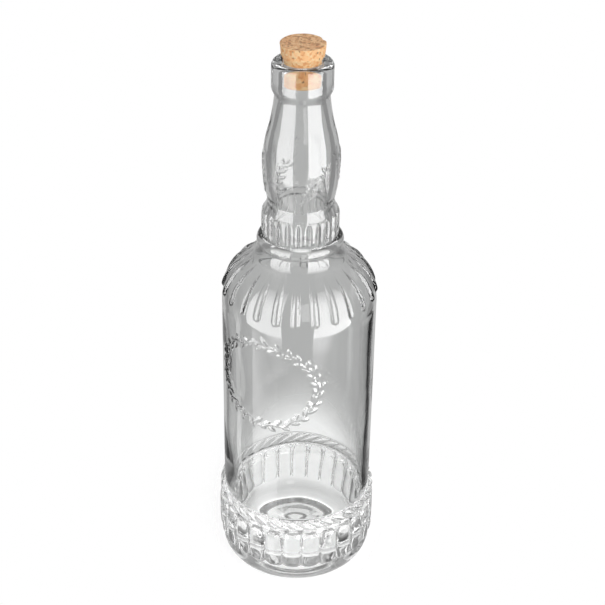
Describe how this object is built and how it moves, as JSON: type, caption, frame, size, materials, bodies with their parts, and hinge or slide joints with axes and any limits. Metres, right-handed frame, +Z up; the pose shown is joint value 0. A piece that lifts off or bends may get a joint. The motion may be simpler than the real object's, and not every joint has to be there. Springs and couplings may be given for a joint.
{
  "type": "oil bottle",
  "caption": "Empty clear glass oil bottle with a swelling neck, knurled collar, ribbed round shoulder, rope ring and fluted foot, closed by a cork stopper.",
  "frame": {"origin": "centre of the base on the table, under the bottle's axis", "axes": "+Z up the bottle's axis to the cork, -Y towards the front, where a shoulder rib and a foot flute are centred"},
  "size_m": [0.0894, 0.09, 0.3175],
  "materials": {
    "glass": "clear pressed glass",
    "cork": "matte agglomerated cork"
  },
  "bodies": {
    "root": {"bottle": "glass", "cork": "cork"}
  },
  "joints": []
}
